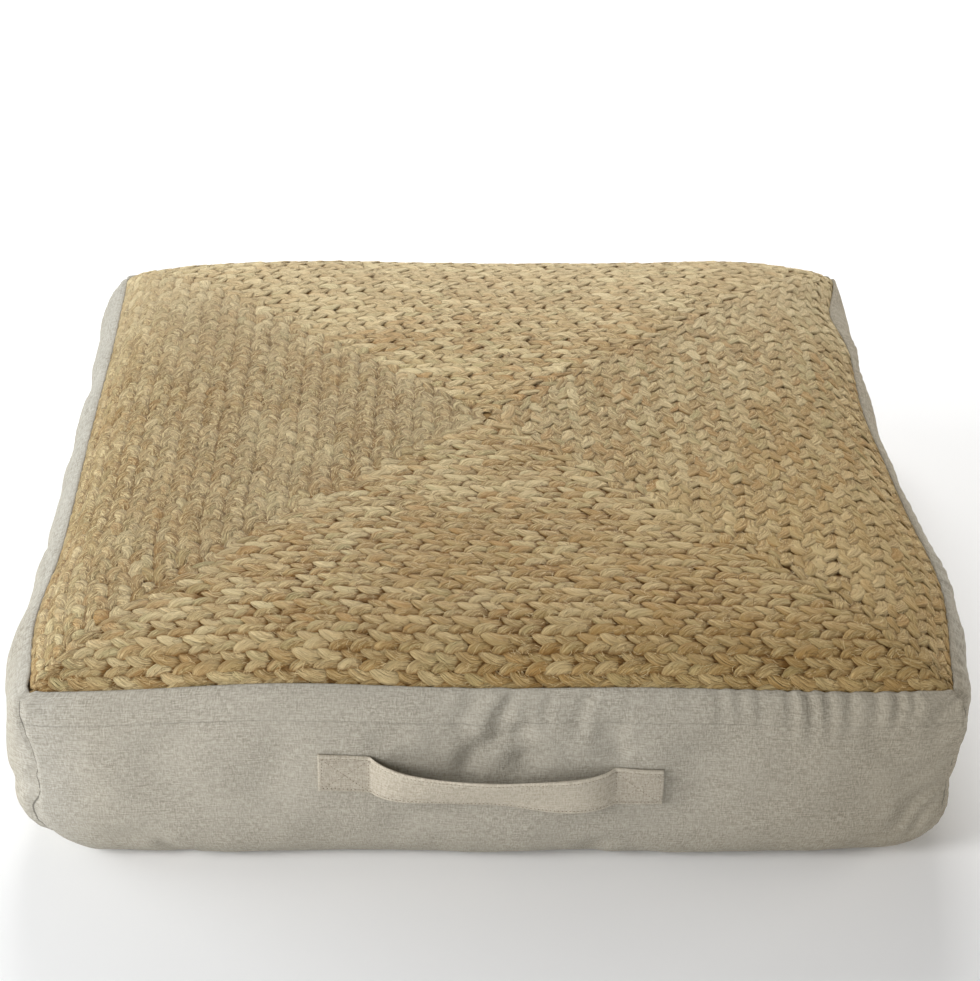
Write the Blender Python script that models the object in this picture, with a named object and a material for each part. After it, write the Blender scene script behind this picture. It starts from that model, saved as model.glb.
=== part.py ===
"""Square floor cushion: a filled cloth box with a braided jute top and a strap handle.

Frame: the origin is the centre of the flat base, +Z is up, the handle is on the -Y side.
Lengths are in metres.
"""
import math

import bmesh
import bpy

# ---- driving dimensions ----
SEAM_HALF = 0.2885          # centre to the seam round the top, at a corner and along the sides
SEAM_Z = 0.135              # height of that seam at the corners
SEAM_POWER = 90.0           # how square the seam's corners are
CROWN_RISE = 0.031          # rise of the filled top just inside the seam
CROWN_ROLL = 0.024          # length over which the top rolls up from the seam
DOME_RISE = 0.006           # further slow rise to the middle
ROW_PITCH = 0.0137          # width of one row of braid
ROW_GROOVE = 0.0016         # depth of the groove between rows
MAT_THICK = 0.0085          # thickness of the braided mat
PART_GAP = 0.0007           # gap left between neighbouring pieces
HEART_HALF = 0.0045         # half side of the little square in the middle of the mat
STRAP_WIDTH = 0.0275        # width of the handle strap
STRAP_THICK = 0.0026        # two folded layers of the handle cloth
STRAP_BOW = 0.0125          # how far the middle of the handle stands off
STRAP_DROOP = 0.0016        # how far the middle of the handle hangs down

# Sides, going round: a point is given by its side and s, which runs -1 to 1 along it.
SIDES = ("front", "right", "back", "left")

# Unevenness of the sewn edge: side, place along it, half length, outward shift, lift.
SEAM_WAVES = (
    ("front", -0.45, 0.30, -0.0010, 0.0046),
    ("front", 0.28, 0.24, 0.0000, 0.0016),
    ("front", 0.80, 0.20, 0.0000, -0.0014),
    ("right", -0.62, 0.30, 0.0110, 0.0010),
    ("right", 0.22, 0.26, -0.0075, 0.0010),
    ("right", 0.48, 0.14, -0.0020, 0.0010),
    ("right", 0.77, 0.16, -0.0120, 0.0010),
    ("back", 0.00, 1.40, 0.0000, 0.0052),
    ("back", -0.50, 0.30, 0.0000, 0.0012),
    ("back", -0.80, 0.20, 0.0000, 0.0046),
    ("back", 0.84, 0.16, 0.0000, 0.0016),
    ("back", 0.52, 0.25, 0.0010, 0.0016),
    ("left", 0.76, 0.22, 0.0078, 0.0000),
    ("left", -0.55, 0.32, -0.0020, 0.0020),
)

# Where the filling stands out or falls in below the edge: side, place along it, half length,
# height, half height, how far out.
SIDE_BULGES = (
    ("left", 0.92, 0.16, 0.054, 0.038, 0.0090),
    ("right", -0.35, 0.28, 0.105, 0.060, -0.0040),
    ("right", 0.50, 0.12, 0.105, 0.060, -0.0055),
    ("right", 0.80, 0.12, 0.105, 0.060, 0.0050),
)

# Outside of the filled body: height, half width at the corners, at the middle of front and
# back, at the middle of left and right, squareness of the corner, share of the seam's unevenness.
BODY_RINGS = (
    (0.0000, 0.2640, 0.2680, 0.2650, 16.0, 0.00),
    (0.0020, 0.2745, 0.2780, 0.2755, 20.0, 0.00),
    (0.0075, 0.2835, 0.2870, 0.2840, 26.0, 0.08),
    (0.0170, 0.2890, 0.2945, 0.2925, 34.0, 0.20),
    (0.0300, 0.2918, 0.2995, 0.2980, 44.0, 0.35),
    (0.0450, 0.2930, 0.3022, 0.3008, 54.0, 0.50),
    (0.0600, 0.2936, 0.3030, 0.3022, 64.0, 0.62),
    (0.0750, 0.2938, 0.3026, 0.3035, 74.0, 0.74),
    (0.0900, 0.2940, 0.3012, 0.3042, 84.0, 0.85),
    (0.1050, 0.2941, 0.2988, 0.3040, 90.0, 0.94),
    (0.1180, 0.2938, 0.2962, 0.3020, 90.0, 0.98),
    (0.1280, 0.2926, 0.2936, 0.2975, 90.0, 1.00),
    (0.1340, 0.2912, 0.2918, 0.2926, 90.0, 1.00),
)

# Soft troughs in the cloth: side, top x and z, foot x and z, half width, depth.
TROUGHS = (
    ("front", 0.004, 0.136, -0.010, 0.086, 0.017, 0.0050),
    ("front", 0.014, 0.104, 0.022, 0.070, 0.016, 0.0035),
    ("front", 0.085, 0.118, 0.082, 0.090, 0.014, 0.0030),
    ("front", 0.287, 0.130, 0.262, 0.112, 0.012, 0.0035),
    ("front", 0.282, 0.066, 0.246, 0.034, 0.014, 0.0035),
    ("front", -0.262, 0.120, -0.284, 0.070, 0.012, 0.0025),
    ("right", -0.150, 0.120, -0.110, 0.050, 0.022, 0.0035),
    ("right", 0.140, 0.110, 0.170, 0.040, 0.024, 0.0030),
    ("back", -0.120, 0.118, -0.090, 0.050, 0.022, 0.0035),
    ("back", 0.130, 0.112, 0.160, 0.046, 0.022, 0.0030),
    ("left", -0.100, 0.116, -0.130, 0.044, 0.022, 0.0030),
    ("left", 0.160, 0.108, 0.140, 0.040, 0.022, 0.0030),
)

# Ends of the handle: inner and outer x, height of the strap's centre line there.
HANDLE_LEFT = (-0.1100, -0.0780, 0.0838, 0.0820)
HANDLE_RIGHT = (0.0775, 0.1080, 0.0722, 0.0706)

# How far the handle's upper edge leans out: share of the way along the band, degrees.
HANDLE_LEANS = (
    (0.00, 0.0),
    (0.13, 11.7),
    (0.32, 24.0),
    (0.54, 24.0),
    (0.70, 13.5),
    (0.81, 3.6),
    (0.93, 0.0),
    (1.00, 0.0),
)


def lerp(a, b, t):
    return a + (b - a) * t


def smooth(t):
    t = min(1.0, max(0.0, t))
    return t * t * (3.0 - 2.0 * t)


# ---- shape of the edge, the body and the top ----
def seam_wave(side, s):
    """Outward shift and lift of the sewn edge at a place along one side."""
    out = 0.0
    lift = 0.0020 * (1.0 - s * s)
    for name, centre, length, shift, rise in SEAM_WAVES:
        if name == SIDES[side]:
            bump = math.exp(-((s - centre) / length) ** 2) * (1.0 - s ** 8)
            out += shift * bump
            lift += rise * bump
    return out, lift


def on_side(side, s, half, power, shift):
    """Plan position on a rounded square, for one side and place along it."""
    scale = (abs(s) ** power + 1.0) ** (-1.0 / power)
    along = half * s * scale
    out = (half + shift) * scale
    return ((along, -out), (out, along), (-along, out), (-out, -along))[side]


def side_bulge(side, s, z):
    """How far the filling pushes a side out at a place and height."""
    out = 0.0
    for name, centre, length, height, depth, push in SIDE_BULGES:
        if name == SIDES[side]:
            out += push * math.exp(-((s - centre) / length) ** 2 - ((z - height) / depth) ** 2)
    return out * (1.0 - abs(s) ** 26) * smooth((0.132 - z) / 0.014) * smooth(z / 0.020)


def trough_depth(side, along, z):
    """Depth of the hand-placed troughs at a place on a side."""
    depth = 0.0
    for name, x0, z0, x1, z1, width, deep in TROUGHS:
        if name != SIDES[side]:
            continue
        dx = x1 - x0
        dz = z1 - z0
        length2 = dx * dx + dz * dz
        t = ((along - x0) * dx + (z - z0) * dz) / length2
        fade = smooth((t + 0.45) / 0.6) * smooth((1.45 - t) / 0.6)
        t = min(1.0, max(0.0, t))
        away = math.hypot(along - x0 - t * dx, z - z0 - t * dz)
        depth += deep * fade * math.exp(-(away / width) ** 2)
    return depth


def body_point(side, s, row):
    """Point of the filled body's outside, on one of its rings."""
    z, corner, front_half, side_half, power, share = row
    middle = side_half if side % 2 else front_half
    shift, lift = seam_wave(side, s)
    half = corner + (middle - corner) * (1.0 - abs(s) ** 10)
    fade = min(1.0, z / 0.03) * smooth((0.1345 - z) / 0.022) * (1.0 - abs(s) ** 8)
    inset = trough_depth(side, half * s, z) * fade
    pushed = half - corner + shift * share + side_bulge(side, s, z) - inset
    x, y = on_side(side, s, corner, power, pushed)
    return (x, y, z + lift * share)


def plan_inset(arc):
    """Distance in from the seam in plan, for a length walked up over the crown."""
    inset = 0.0
    walked = 0.0
    step = 0.0005
    while walked < arc:
        rise = CROWN_RISE / CROWN_ROLL * math.exp(-inset / CROWN_ROLL)
        inset += step / math.hypot(1.0, rise)
        walked += step
    return inset


def top_point(side, s, inset, drop):
    """Point of the top, inset from the seam in plan and dropped square to the surface."""
    shift, lift = seam_wave(side, s)
    share = max(0.0, 1.0 - inset / SEAM_HALF) ** 1.6
    x, y = on_side(side, s, SEAM_HALF - inset, SEAM_POWER, shift * share)
    near = inset if abs(inset) > 1e-6 else 1e-6
    far = max(abs(near), inset + (SEAM_HALF - inset) * (1.0 - abs(s)))
    corner = near * (1.0 + (near / far) ** 4) ** -0.25
    roll = 1.0 - math.exp(-corner / CROWN_ROLL)
    dome = (1.0 - (1.0 - near / SEAM_HALF) ** 2) * (1.0 - (1.0 - far / SEAM_HALF) ** 2)
    lumps = 0.0012 * math.sin(17.0 * x + 1.0) * math.sin(15.0 * y + 0.4) * roll
    z = SEAM_Z + lift * share + CROWN_RISE * roll + DOME_RISE * dome + lumps
    steep = CROWN_RISE / CROWN_ROLL * math.exp(-corner / CROWN_ROLL)
    steep_near = steep * (corner / near) ** 5
    steep_far = steep * abs(corner / far) ** 5
    steep_far *= 1.0 if s > 0.0 else -1.0
    gx, gy = ((steep_far, -steep_near), (steep_near, steep_far),
              (-steep_far, steep_near), (-steep_near, -steep_far))[side]
    size = math.sqrt(gx * gx + gy * gy + 1.0)
    return (x - drop * gx / size, y - drop * gy / size, z - drop / size)


# ---- rings of points and the skin between them ----
def stations(per_side):
    """Places round the square, closer together towards the corners."""
    places = []
    for side in range(4):
        for i in range(per_side):
            t = 2.0 * i / per_side - 1.0
            places.append((side, 1.3 * t - 0.3 * t ** 3))
    return places


class Skin:
    """A closed skin built ring by ring, from one end to the other."""

    def __init__(self, name, inward):
        self.name = name
        self.inward = inward
        self.bm = bmesh.new()
        self.last = None

    def ring(self, per_side, place):
        """Add a ring of points and join it to the ring before."""
        new = []
        for index, (side, s) in enumerate(stations(per_side)):
            new.append((index / per_side, self.bm.verts.new(place(side, s))))
        if self.last is None:
            self.bm.faces.new([v for _, v in reversed(new)])
        else:
            self.join(self.last, new)
        self.last = new

    def join(self, low, high):
        """Fill between two rings, walking round both together."""
        i = 0
        j = 0
        while i < len(low) or j < len(high):
            a = low[i % len(low)][1]
            b = high[j % len(high)][1]
            next_low = low[i + 1][0] if i + 1 < len(low) else 4.0
            next_high = high[j + 1][0] if j + 1 < len(high) else 4.0
            if i < len(low) and j < len(high) and abs(next_low - next_high) < 1e-6:
                c = high[(j + 1) % len(high)][1]
                d = low[(i + 1) % len(low)][1]
                split = ((a, d, c), (a, c, b)) if self.inward else ((a, d, b), (d, c, b))
                self.bm.faces.new(split[0])
                self.bm.faces.new(split[1])
                i += 1
                j += 1
            elif j >= len(high) or (i < len(low) and next_low < next_high):
                self.bm.faces.new((a, low[(i + 1) % len(low)][1], b))
                i += 1
            else:
                self.bm.faces.new((a, high[(j + 1) % len(high)][1], b))
                j += 1

    def finish(self, material):
        """Close the last ring and make the object."""
        self.bm.faces.new([v for _, v in self.last])
        bmesh.ops.triangulate(self.bm, faces=[f for f in self.bm.faces if len(f.verts) > 3])
        return finished(self.name, self.bm, material, 0.9999)


def finished(name, bm, material, flat_from):
    """The object made from a skin; faces turned up or down more than a limit stay flat."""
    bmesh.ops.recalc_face_normals(bm, faces=bm.faces)
    mesh = bpy.data.meshes.new(name)
    bm.to_mesh(mesh)
    bm.free()
    for polygon in mesh.polygons:
        polygon.use_smooth = abs(polygon.normal.z) < flat_from
    mesh.materials.append(material)
    obj = bpy.data.objects.new(name, mesh)
    bpy.context.scene.collection.objects.link(obj)
    return obj


def cloth_material(name, colour, roughness):
    material = bpy.data.materials.new(name)
    material.use_nodes = True
    shader = material.node_tree.nodes["Principled BSDF"]
    shader.inputs["Base Color"].default_value = (*colour, 1.0)
    shader.inputs["Roughness"].default_value = roughness
    shader.inputs["Metallic"].default_value = 0.0
    return material


# ---- the pieces ----
def seat_rings():
    """Rings shared by the mat's underside and the body below it: points a side, inset."""
    rows = ((0, 14), (1, 14), (2, 14), (3, 14), (5, 10), (7, 10), (10, 8), (13, 8), (17, 4))
    return [(count, plan_inset(row * ROW_PITCH)) for row, count in rows]


def filled_body(material):
    """The filled cloth box: flat base, bulging drawn-in sides, crown and turned-in lip."""
    skin = Skin("cushion_body", True)
    for row in BODY_RINGS:
        skin.ring(24, lambda side, s: body_point(side, s, row))
    wall = -1.6 * PART_GAP
    skin.ring(14, lambda side, s: lip_point(side, s, -0.0030, 0.0008))
    skin.ring(14, lambda side, s: lip_point(side, s, -0.0018, 0.0010))
    skin.ring(14, lambda side, s: top_point(side, s, wall, 0.0))
    skin.ring(14, lambda side, s: top_point(side, s, wall, seat(0.0)))
    for count, inset in seat_rings()[1:]:
        skin.ring(count, lambda side, s: top_point(side, s, inset, seat(inset)))
    skin.ring(4, lambda side, s: top_point(side, s, SEAM_HALF - 0.014, seat(SEAM_HALF)))
    return skin.finish(material)


def underside(inset):
    """Thickness of the mat, which is pinched where it is sewn in at the seam."""
    return MAT_THICK * lerp(0.5, 1.0, smooth(inset / 0.022))


def seat(inset):
    """Depth of the body's top below the face of the mat, a little looser at the rim."""
    return underside(inset) + PART_GAP * lerp(3.0, 1.0, smooth(inset / 0.030))


def lip_point(side, s, inset, rise):
    """Rim of cloth standing just outside the mat's edge."""
    x, y, z = top_point(side, s, 0.0, 0.0)
    shift, lift = seam_wave(side, s)
    x, y = on_side(side, s, SEAM_HALF - inset, SEAM_POWER, shift)
    return (x, y, z + rise)


def braided_mat(material):
    """The braided mat: a domed square plate with a shallow groove between its rows."""
    skin = Skin("braided_top", False)
    skin.ring(4, lambda side, s: top_point(side, s, SEAM_HALF - 0.014, MAT_THICK))
    for count, inset in reversed(seat_rings()):
        skin.ring(count, lambda side, s: top_point(side, s, inset, underside(inset)))
    row = 0
    arc = 0.0
    while plan_inset(arc) < SEAM_HALF - 1.2 * ROW_PITCH:
        count = 14 if row < 3 else 8 if row < 11 else 4
        valley = plan_inset(arc)
        crest = plan_inset(arc + 0.5 * ROW_PITCH)
        groove = 0.3 * ROW_GROOVE if row == 0 else ROW_GROOVE
        skin.ring(count, lambda side, s: top_point(side, s, valley, groove))
        skin.ring(count, lambda side, s: top_point(side, s, crest, 0.0))
        row += 1
        arc += ROW_PITCH
    skin.ring(4, lambda side, s: top_point(side, s, SEAM_HALF - HEART_HALF, ROW_GROOVE))
    return skin.finish(material)


def front_face(x, z):
    """How far forward the cushion's front stands, taking the outermost nearby."""
    best = 0.0
    for dx in (-0.008, 0.0, 0.008):
        for dz in (-0.008, -0.004, 0.0, 0.004, 0.008):
            best = max(best, -front_y(x + dx, z + dz))
    return best


def front_y(x, z):
    """The front face between two rings of the body."""
    s = x / 0.2917
    for low, high in zip(BODY_RINGS, BODY_RINGS[1:]):
        a = body_point(0, s, low)
        b = body_point(0, s, high)
        if a[2] <= z <= b[2]:
            return lerp(a[1], b[1], (z - a[2]) / (b[2] - a[2]))
    return body_point(0, s, BODY_RINGS[7])[1]


def lean_at(t):
    """Lean of the handle's band at a share of the way along it."""
    for (t0, lean0), (t1, lean1) in zip(HANDLE_LEANS, HANDLE_LEANS[1:]):
        if t <= t1:
            return math.radians(lerp(lean0, lean1, smooth((t - t0) / (t1 - t0))))
    return 0.0


def strap_path():
    """Stations along the strap: x, height, stand-off from the cloth, lean."""
    left_out, left_in, left_z0, left_z1 = HANDLE_LEFT
    right_in, right_out, right_z0, right_z1 = HANDLE_RIGHT
    path = []
    for i in range(5):
        t = i / 4.0
        path.append((lerp(left_out, left_in, t), lerp(left_z0, left_z1, t), 0.0, 0.0))
    for i in range(1, 22):
        t = i / 22.0
        bow = (1.0 - (2.0 * t - 1.0) ** 6) ** 1.15
        z = lerp(left_z1, right_z0, t) - STRAP_DROOP * bow
        path.append((lerp(left_in, right_in, t), z, STRAP_BOW * bow, lean_at(t)))
    for i in range(5):
        t = i / 4.0
        path.append((lerp(right_in, right_out, t), lerp(right_z0, right_z1, t), 0.0, 0.0))
    return path


STRAP_ACROSS = 4            # faces across the strap


def strap_sections():
    """Points of the strap's sections, inner face then outer face, each from foot to head."""
    path = strap_path()
    first = path[4]
    last = path[-5]
    chord_y0 = front_face(first[0], first[1])
    chord_y1 = front_face(last[0], last[1])
    sections = []
    for x, z, stand, lean in path:
        section = []
        base = lerp(chord_y0, chord_y1, (x - first[0]) / (last[0] - first[0]))
        ease = smooth(stand / 0.004)
        for layer in (0.0, STRAP_THICK):
            for j in range(STRAP_ACROSS + 1):
                v = (j / STRAP_ACROSS - 0.5) * STRAP_WIDTH
                z_at = z + v * math.cos(lean)
                tab = front_face(x, z_at) + PART_GAP
                y = lerp(tab, base, ease) + stand + v * math.sin(lean) + layer
                section.append((x, -y, z_at - layer * math.sin(lean)))
        sections.append(section)
    return sections


def handle_strap(material):
    """The strap handle: two tabs sewn flat to the front and a band bowed out between."""
    bm = bmesh.new()
    rows = [[bm.verts.new(point) for point in section] for section in strap_sections()]
    across = STRAP_ACROSS
    count = across + 1
    for a, b in zip(rows, rows[1:]):
        for j in range(across):
            bm.faces.new((a[j], b[j], b[j + 1], a[j + 1]))
            k = count + j
            bm.faces.new((a[k], a[k + 1], b[k + 1], b[k]))
        bm.faces.new((a[0], a[count], b[count], b[0]))
        bm.faces.new((a[across], b[across], b[count + across], a[count + across]))
    for section in (rows[0], rows[-1]):
        bm.faces.new(section[:count] + section[count:][::-1])
    bmesh.ops.triangulate(bm, faces=bm.faces)
    return finished("handle_strap", bm, material, 2.0)


for old in list(bpy.data.objects):
    bpy.data.objects.remove(old, do_unlink=True)

filled_body(cloth_material("cover_cloth", (0.56, 0.53, 0.47), 0.92))
braided_mat(cloth_material("braided_jute", (0.46, 0.34, 0.19), 0.88))
handle_strap(cloth_material("handle_cloth", (0.54, 0.50, 0.43), 0.92))
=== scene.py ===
import math
import random

import bpy
import numpy as np
from mathutils import Matrix, Vector, noise


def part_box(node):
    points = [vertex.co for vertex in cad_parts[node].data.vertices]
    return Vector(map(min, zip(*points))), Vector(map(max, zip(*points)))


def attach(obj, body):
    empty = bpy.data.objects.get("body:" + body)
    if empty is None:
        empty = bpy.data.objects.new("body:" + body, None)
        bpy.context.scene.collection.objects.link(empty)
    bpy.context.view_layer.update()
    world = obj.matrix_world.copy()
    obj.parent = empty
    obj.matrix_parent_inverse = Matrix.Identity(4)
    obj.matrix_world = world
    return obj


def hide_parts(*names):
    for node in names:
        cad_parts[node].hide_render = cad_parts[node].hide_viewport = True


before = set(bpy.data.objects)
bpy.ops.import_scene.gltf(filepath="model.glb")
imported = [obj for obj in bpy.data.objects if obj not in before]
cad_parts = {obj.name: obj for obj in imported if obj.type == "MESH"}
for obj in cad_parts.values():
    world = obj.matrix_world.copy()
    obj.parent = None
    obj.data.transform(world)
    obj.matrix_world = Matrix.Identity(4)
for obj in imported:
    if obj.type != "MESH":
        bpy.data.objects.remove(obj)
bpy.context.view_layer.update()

# ========================================
# The filled cover. Four side panels and a base of undyed cotton and linen cloth are sewn into a
# box round soft filling. The filling rounds the lower edge and bulges the sides, the corner
# seams draw them in, and the top edge is turned in where the braided mat is sewn to it.
# ========================================
mat_low, mat_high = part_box("braided_top")
SEAM_HALF = (mat_high[1] - mat_low[1]) / 2 + 0.0016   # centre to the top seam
FLOOR_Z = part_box("cushion_body")[0][2]
SEAM_HEIGHT = 0.135                                   # top seam above the floor, at the corners
SEAM_Z = FLOOR_Z + SEAM_HEIGHT
SEAM_POWER = 160.0                                    # squareness of the corners at the seam
PANEL_HALF = 0.29                                     # half the length of a side panel
SIDES = ("front", "right", "back", "left")

# Unevenness of the top seam: side, place along it (-1 to 1), half length, outward shift, lift.
SEAM_WAVES = (
    ("front", -0.45, 0.30, -0.0010, 0.0046),
    ("front", 0.28, 0.24, 0.0000, 0.0016),
    ("front", 0.80, 0.20, 0.0000, -0.0014),
    ("right", -0.62, 0.30, 0.0110, 0.0010),
    ("right", 0.22, 0.26, -0.0075, 0.0010),
    ("right", 0.48, 0.14, -0.0020, 0.0010),
    ("right", 0.77, 0.16, -0.0120, 0.0010),
    ("back", 0.00, 1.40, 0.0000, 0.0052),
    ("back", -0.50, 0.30, 0.0000, 0.0012),
    ("back", -0.80, 0.20, 0.0000, 0.0046),
    ("back", 0.84, 0.16, 0.0000, 0.0016),
    ("back", 0.52, 0.25, 0.0010, 0.0016),
    ("left", 0.76, 0.22, 0.0078, 0.0000),
    ("left", -0.55, 0.32, -0.0020, 0.0020),
)

# Where the filling stands out or falls in under the seam: side, place along it, half length,
# height, half height, how far out.
SIDE_BULGES = (
    ("left", 0.92, 0.16, 0.054, 0.038, 0.0090),
    ("right", -0.35, 0.28, 0.105, 0.060, -0.0040),
    ("right", 0.50, 0.12, 0.105, 0.060, -0.0055),
    ("right", 0.80, 0.12, 0.105, 0.060, 0.0050),
)

# Outside of the cover, from the middle of the base up to the turned-in edge: height, half
# width at the corners, at the middle of front and back, at the middle of left and right,
# squareness, share of the seam's unevenness.
COVER_ROWS = (
    (0.0000, 0.0000, 0.0000, 0.0000, 3.0, 0.00),
    (0.0000, 0.1200, 0.1200, 0.1200, 4.0, 0.00),
    (0.0000, 0.2100, 0.2120, 0.2120, 8.0, 0.00),
    (0.0000, 0.2480, 0.2520, 0.2500, 12.0, 0.00),
    (0.0000, 0.2640, 0.2680, 0.2650, 16.0, 0.00),
    (0.0020, 0.2745, 0.2780, 0.2755, 20.0, 0.00),
    (0.0075, 0.2835, 0.2870, 0.2840, 26.0, 0.08),
    (0.0170, 0.2890, 0.2945, 0.2925, 34.0, 0.20),
    (0.0300, 0.2918, 0.2995, 0.2980, 44.0, 0.35),
    (0.0450, 0.2930, 0.3022, 0.3008, 54.0, 0.50),
    (0.0600, 0.2936, 0.3030, 0.3022, 64.0, 0.62),
    (0.0750, 0.2938, 0.3026, 0.3035, 74.0, 0.74),
    (0.0900, 0.2940, 0.3012, 0.3042, 84.0, 0.85),
    (0.1050, 0.2941, 0.2988, 0.3045, 90.0, 0.94),
    (0.1180, 0.2941, 0.2962, 0.3034, 90.0, 0.98),
    (0.1265, 0.2930, 0.2936, 0.3000, 90.0, 1.00),
    (0.1325, 0.2917, 0.2920, 0.2944, 90.0, 1.00),
    (0.1350, 0.2905, 0.2908, 0.2908, 90.0, 1.00),
    (0.1356, 0.2897, 0.2901, 0.2889, 90.0, 1.00),
    (0.1352, 0.2892, 0.2896, 0.2880, 90.0, 1.00),
    (0.1310, 0.2890, 0.2893, 0.2875, 90.0, 1.00),
)


def smooth(t):
    """0 up to 0, 1 from 1 on, and smooth between."""
    t = np.clip(t, 0.0, 1.0)
    return t * t * (3.0 - 2.0 * t)


def seam_wave(side, s):
    """Outward shift and lift of the top seam, for arrays of sides and places along them."""
    shift = np.zeros_like(s)
    lift = 0.0020 * (1.0 - s * s)
    for name, centre, length, out, rise in SEAM_WAVES:
        bump = np.where(side == SIDES.index(name), np.exp(-((s - centre) / length) ** 2), 0.0)
        bump = bump * (1.0 - s ** 8)
        shift = shift + out * bump
        lift = lift + rise * bump
    return shift, lift


def side_bulge(side, s, z):
    """How far the filling pushes the sides out, for arrays of sides, places and heights."""
    out = np.zeros(np.broadcast(s, z).shape)
    for name, centre, length, height, depth, push in SIDE_BULGES:
        bump = np.exp(-((s - centre) / length) ** 2 - ((z - height) / depth) ** 2)
        out += np.where(side == SIDES.index(name), push * bump, 0.0)
    return out * (1.0 - np.abs(s) ** 26) * smooth((0.132 - z) / 0.014) * smooth(z / 0.020)


def on_side(side, s, half, power, shift):
    """Plan position on a rounded square, for arrays of sides and places along them."""
    scale = (np.abs(s) ** power + 1.0) ** (-1.0 / power)
    along = half * s * scale
    out = (half + shift) * scale
    x = np.choose(side, (along, out, -along, -out))
    y = np.choose(side, (-out, along, out, -along))
    return x, y


def through(rows, places):
    """Smooth curve through the rows of a table, read at fractional row numbers."""
    rows = np.array(rows)
    last = len(rows) - 1
    low = np.clip(np.floor(places).astype(int), 0, last - 1)
    t = (places - low)[:, None]
    a = rows[np.clip(low - 1, 0, last)]
    b = rows[low]
    c = rows[low + 1]
    d = rows[np.clip(low + 2, 0, last)]
    return b + 0.5 * t * (c - a + t * (2 * a - 5 * b + 4 * c - d + t * (3 * (b - c) + d - a)))


def cover_places():
    """Fractional row numbers down the cover's outline, about every 2.5 mm where it shows."""
    places = []
    for i in range(len(COVER_ROWS) - 1):
        a = COVER_ROWS[i]
        b = COVER_ROWS[i + 1]
        length = math.hypot(b[0] - a[0], b[3] - a[3])
        steps = max(2, round(length / (0.0026 if i > 3 else 0.02)))
        places += [i + k / steps for k in range(steps)]
    return np.array(places + [len(COVER_ROWS) - 1.0])


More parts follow.
